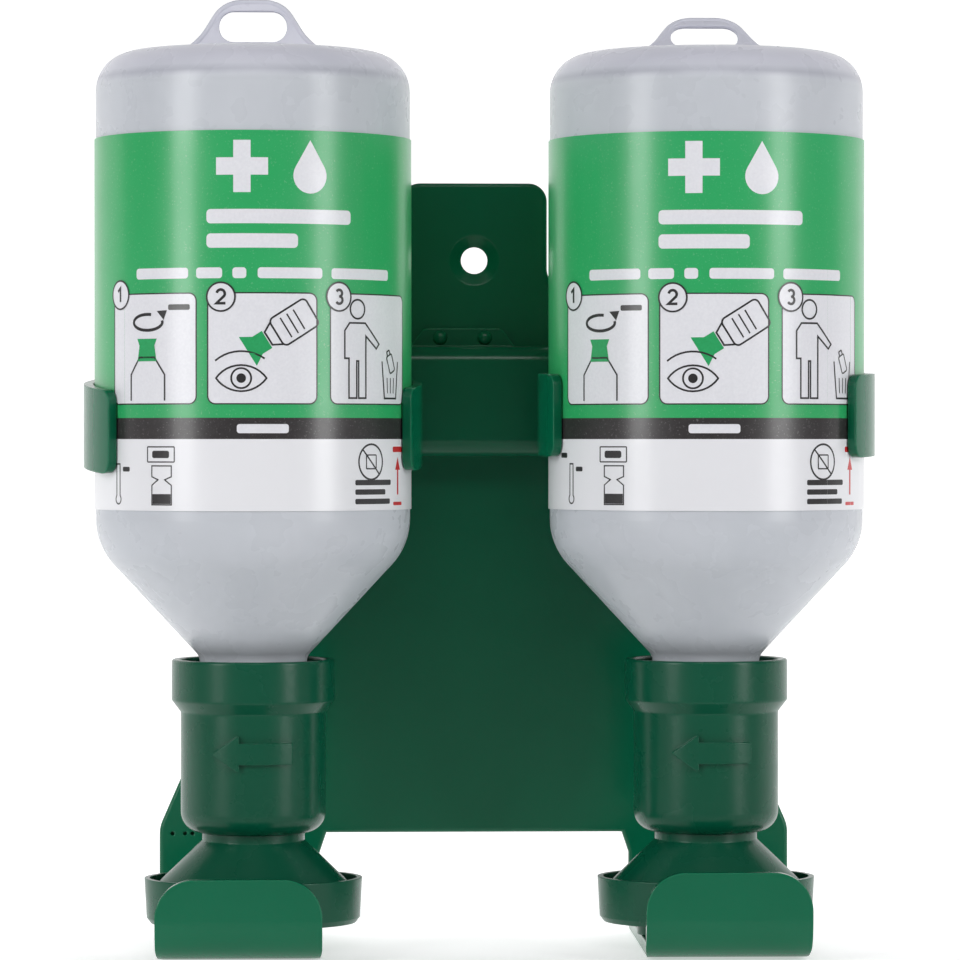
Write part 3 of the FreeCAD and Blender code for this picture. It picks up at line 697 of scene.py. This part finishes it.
def red_print():
    """Upward arrow at the label's right end with two word bars."""
    shaft = stroke([(41.2, -57.2), (41.2, -51.0)], ARROW_PEN)
    words = [bar(38.6, 43.8, -46.6, 1.3), bar(38.9, 43.5, -59.3, 0.8)]
    return [(ON_FILM, [shaft, arrow_head((41.2, -48.4), 90, 3.0, 2.6)] + words)]


# ---- Hangers

HANGER_OUTLINE = [  # across, up from the hinge, corner radius, in millimetres
    (-20.2, 0, 0),
    (20.2, 0, 0),
    (12.6, 6.4, 14.0),
    (7.2, 15.3, 8.0),
    (-7.2, 15.3, 8.0),
    (-12.6, 6.4, 14.0),
]
HANGER_HOLE = [(-8.0, 5.0, 3.4), (8.0, 5.0, 3.4), (8.0, 12.2, 3.5), (-8.0, 12.2, 3.5)]
CORNER_STEPS = 12
RIM_R = 0.8  # bead round the outline
HOLE_RIM_R = RIM_R * 0.7  # bead round the hole
WEB_HALF_T = 0.6
WEB_EDGE_R = 0.2


def add_loop(data, loop):
    """Add a closed outline to a curve."""
    line = data.splines.new("POLY")
    line.points.add(len(loop) - 1)
    for point, (u, v) in zip(line.points, loop):
        point.co = (u, v, 0, 1)
    line.use_cyclic_u = True


def bead(loop, radius):
    """Closed round bead along an outline."""
    data = bpy.data.curves.new("bead", "CURVE")
    data.dimensions = "3D"
    data.bevel_depth = radius
    data.bevel_resolution = 4
    add_loop(data, loop)
    return data


def web(loops, half_t, rounding):
    """Flat web between an outline and a hole, with rounded edges."""
    data = bpy.data.curves.new("web", "CURVE")
    data.dimensions = "2D"
    data.fill_mode = "BOTH"
    data.extrude = half_t - rounding
    data.bevel_depth = rounding
    data.bevel_resolution = 3
    for loop in loops:
        add_loop(data, loop)
    return data


def inset(loop, distance):
    """The outline moved inwards, or outwards if negative, for a loop that runs anticlockwise."""
    moved = []
    count = len(loop)
    for i, point in enumerate(loop):
        before = (Vector(point) - Vector(loop[i - 1])).normalized()
        after = (Vector(loop[(i + 1) % count]) - Vector(point)).normalized()
        along = (before + after).normalized()
        normal = Vector((-along.y, along.x))
        moved.append(tuple(Vector(point) + normal * distance / max(0.5, along.dot(after))))
    return moved


def without_doubles(loop):
    """The outline without points that all but coincide."""
    return [p for i, p in enumerate(loop) if (Vector(p) - Vector(loop[i - 1])).length > 0.02]


def make_hanger(side, material):
    """Hanger tab at the lean it rests at: a thin web with a bead round its outline and its hole."""
    joints = frame["record"]["behaviour"]["joints"]
    fold = next(joint for joint in joints if joint["name"] == f"{side}_hanger_fold")
    lean = -fold["range_deg"][0]
    outer = without_doubles(rounded_loop(HANGER_OUTLINE, CORNER_STEPS))
    hole = without_doubles(rounded_loop(HANGER_HOLE, CORNER_STEPS))
    parts = [
        web([inset(outer, RIM_R), inset(hole, -RIM_R * 0.4)], WEB_HALF_T, WEB_EDGE_R),
        bead(inset(outer, RIM_R), RIM_R),
        bead(inset(hole, -HOLE_RIM_R), HOLE_RIM_R),
    ]
    joined = bmesh.new()
    for data in parts:
        source = bpy.data.objects.new("part", data)
        bpy.context.collection.objects.link(source)
        bpy.context.view_layer.update()
        evaluated = source.evaluated_get(bpy.context.evaluated_depsgraph_get())
        mesh = bpy.data.meshes.new_from_object(evaluated)
        joined.from_mesh(mesh)
        bpy.data.objects.remove(source)
        bpy.data.meshes.remove(mesh)
    tilt = Matrix.Rotation(math.radians(90 - lean), 4, "X")
    place = Matrix.Translation(Vector(fold["pos_m"])) @ tilt @ Matrix.Scale(MM, 4)
    bmesh.ops.transform(joined, matrix=place, verts=joined.verts[:])
    bmesh.ops.remove_doubles(joined, verts=joined.verts[:], dist=0.005 * MM)
    piece = finished_piece(f"{side}_hanger_tab", joined, 50, material)
    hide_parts(f"{side}_hanger")
    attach(piece, f"{side}_hanger")


# ---- Building


def give(node, material):
    """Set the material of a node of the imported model."""
    materials = frame["nodes"][node].data.materials
    materials.clear()
    materials.append(material)


make_camera()
make_lights()
make_floor()

BRACKET_GREEN = moulded_green(
    "bracket_green", (0.0008, 0.095, 0.044), (0.0015, 0.14, 0.066), roughness=0.2, edge_r=0.0007
)
CAP_GREEN = moulded_green(
    "cap_green", (0.0004, 0.060, 0.030), (0.0008, 0.088, 0.044), roughness=0.26, edge_r=0.0004
)
MILKY = milky_plastic()
NATURAL = natural_plastic()
STACK_MATERIALS = {
    "screw_sleeve": CAP_GREEN,
    "eye_cup": CAP_GREEN,
    "dust_cap": CAP_GREEN,
    "bottle": MILKY,
    "hanger": MILKY,
    "saline": saline_liquid(),
    "neck_plug": NATURAL,
    "nozzle_insert": NATURAL,
    "sealing_washer": washer_rubber(),
    "label": label_film(),
}
for node in ("back_plate", "clip_bracket", "clip_rivets", "left_shelf", "right_shelf"):
    give(node, BRACKET_GREEN)
for side in SIDES:
    for part, material in STACK_MATERIALS.items():
        give(f"{side}_{part}", material)

INKS = {
    "white": (ink("white_ink", (0.72, 0.72, 0.77), (0.84, 0.84, 0.88)), white_print),
    "black": (ink("black_ink", (0.012, 0.011, 0.012), (0.03, 0.027, 0.03)), black_print),
    "green": (ink("green_ink", (0.010, 0.30, 0.08), (0.025, 0.40, 0.14)), green_print),
    "red": (ink("red_ink", (0.50, 0.015, 0.02), (0.66, 0.03, 0.035)), red_print),
}
for side in SIDES:
    make_hanger(side, MILKY)
    for colour, (material, layers) in INKS.items():
        print_on_label(f"{side}_print_{colour}", side, layers(), material, ART_SHIFT[side])
